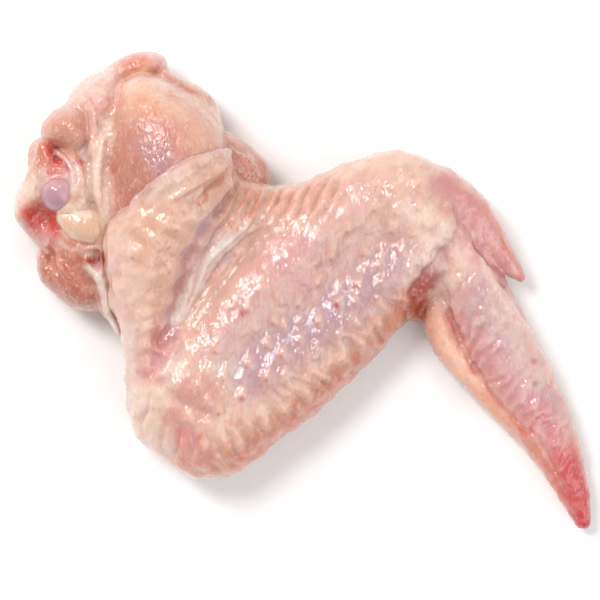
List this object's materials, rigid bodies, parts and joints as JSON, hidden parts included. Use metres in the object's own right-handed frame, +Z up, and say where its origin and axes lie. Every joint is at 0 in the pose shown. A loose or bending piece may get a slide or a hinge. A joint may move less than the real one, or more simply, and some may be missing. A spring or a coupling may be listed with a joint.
{
  "type": "raw chicken wing",
  "caption": "Raw whole chicken wing lying on its underside: skin-covered drumette, flat and tip, with bare meat, cartilage and fat at the cut shoulder.",
  "frame": {"origin": "centre of the wing's bounding box in plan, at the surface that it lies on", "axes": "+X from the cut shoulder towards the wing tip, +Y away from the elbow, +Z up out of the surface"},
  "size_m": [0.1247, 0.1025, 0.0336],
  "materials": {
    "skin": "wet raw poultry skin, finely bumpy",
    "meat": "wet raw meat under a thin membrane",
    "cartilage": "wet smooth cartilage",
    "fat": "wet soft fat"
  },
  "bodies": {
    "root": {"wing_skin": "skin", "shoulder_meat": "meat", "humerus_head": "cartilage", "fat_pad": "fat"}
  },
  "joints": []
}
